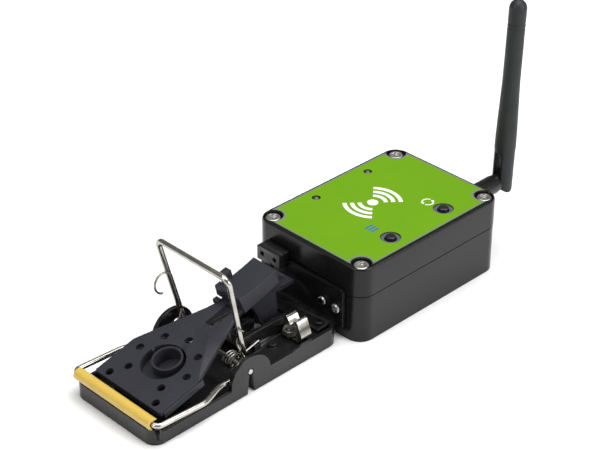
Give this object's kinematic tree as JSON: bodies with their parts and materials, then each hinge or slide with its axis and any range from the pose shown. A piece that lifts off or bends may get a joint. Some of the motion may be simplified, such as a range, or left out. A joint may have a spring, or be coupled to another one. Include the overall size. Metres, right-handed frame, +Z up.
{
  "type": "snap mouse trap",
  "caption": "Plastic snap mouse trap with strike bar, torsion springs and bait treadle, bracketed to a black radio alarm box with a green label and a tilting whip antenna.",
  "frame": {"origin": "centre of the footprint of the overall bounding box, on the underside (floor level)", "axes": "+X runs from the trap's strike bar end to the antenna end (longest extent), +Z is up, and +Y is the left-hand side when looking from the trap towards the antenna"},
  "size_m": [0.21, 0.06, 0.1104],
  "materials": {
    "black_plastic": "smooth black ABS, light gloss with fine scuffs",
    "grey_plastic": "charcoal grey moulded plastic, satin",
    "yellow_plastic": "clear yellow plastic, semi-gloss",
    "bright_wire": "bright nickel-plated spring wire",
    "spring_steel": "drawn spring wire, duller than the bar",
    "steel_pin": "plain steel, lightly brushed",
    "clip_strip": "bright plated spring strip",
    "black_steel": "black e-coat, satin",
    "screw_steel": "zinc-plated screw",
    "box_plastic": "black ABS, fine satin grain",
    "label_film": "green printed film with a thin grey border",
    "seal_rubber": "soft dark grey gasket",
    "button_plastic": "black button cap",
    "lamp_plastic": "dark tinted lamp body",
    "switch_plastic": "black glass-filled switch case",
    "plunger_plastic": "grey plunger",
    "contact_brass": "tinned brass blades",
    "antenna_rubber": "soft-touch black overmould",
    "connector_brass": "gold-plated brass connector",
    "board_green": "green solder mask",
    "tact_black": "small key switch, black",
    "cell_sleeve": "plain blue shrink sleeve"
  },
  "bodies": {
    "base": {"trap_base": "black_plastic", "pivot_pin": "steel_pin", "spring_right": "spring_steel", "spring_left": "spring_steel", "spring_clip": "clip_strip", "clip_nut": "screw_steel", "clip_screw": "screw_steel", "mounting_bracket": "black_steel", "deck_screw_1": "black_steel", "deck_screw_2": "black_steel", "switch_case": "switch_plastic", "box_base": "box_plastic", "box_lid": "box_plastic", "lid_seal": "seal_rubber", "label": "label_film", "tact_switch_1": "tact_black", "tact_switch_2": "tact_black", "led_1": "lamp_plastic", "led_2": "lamp_plastic", "circuit_board": "board_green", "battery_holder": "tact_black", "battery_cell_1": "cell_sleeve", "battery_cell_2": "cell_sleeve", "antenna_connector": "connector_brass", "antenna_nut": "connector_brass", "bracket_screw_1": "screw_steel", "lid_screw_1": "screw_steel", "board_screw_1": "screw_steel", "bracket_screw_2": "screw_steel", "lid_screw_2": "screw_steel", "board_screw_2": "screw_steel", "bracket_screw_3": "screw_steel", "lid_screw_3": "screw_steel", "board_screw_3": "screw_steel", "bracket_screw_4": "screw_steel", "lid_screw_4": "screw_steel", "board_screw_4": "screw_steel", "switch_terminal_1": "contact_brass", "switch_terminal_2": "contact_brass", "switch_terminal_3": "contact_brass"},
    "hammer": {"strike_bar": "bright_wire", "bar_sleeve": "yellow_plastic"},
    "treadle_body": {"treadle": "grey_plastic"},
    "plunger": {"switch_plunger": "plunger_plastic"},
    "button_1_body": {"button_1": "button_plastic"},
    "button_2_body": {"button_2": "button_plastic"},
    "knuckle": {"antenna_knuckle": "black_plastic", "antenna_pin": "black_steel"},
    "whip": {"antenna_whip": "antenna_rubber"}
  },
  "joints": [
    {"name": "hammer_hinge", "type": "hinge", "parent": "base", "child": "hammer", "pos_m": [-0.05556, 0.00145, 0.0098], "axis": [0, 1, 0], "range_deg": [0, 86], "stiffness_Nm_per_rad": 0.12, "springref_deg": -57.3, "deforming": ["spring_right", "spring_left"]},
    {"name": "treadle_hinge", "type": "hinge", "parent": "base", "child": "treadle_body", "pos_m": [-0.02426, 0.00145, 0.006], "axis": [0, 1, 0], "range_deg": [0, 5]},
    {"name": "switch_plunger_slide", "type": "slide", "parent": "base", "child": "plunger", "axis": [0, 0, 1], "range_m": [0, 0.0005], "stiffness_N_per_m": 300},
    {"name": "button_1_press", "type": "slide", "parent": "base", "child": "button_1_body", "axis": [0, 0, -1], "range_m": [0, 0.0005], "stiffness_N_per_m": 300},
    {"name": "button_2_press", "type": "slide", "parent": "base", "child": "button_2_body", "axis": [0, 0, -1], "range_m": [0, 0.0005], "stiffness_N_per_m": 300},
    {"name": "antenna_swivel", "type": "hinge", "parent": "base", "child": "knuckle", "pos_m": [0.09874, -0.01395, 0.0275], "axis": [1, 0, 0], "continuous": true},
    {"name": "antenna_tilt", "type": "hinge", "parent": "knuckle", "child": "whip", "pos_m": [0.09874, -0.01395, 0.0275], "axis": [0, 1, 0], "range_deg": [-2, 88]}
  ]
}
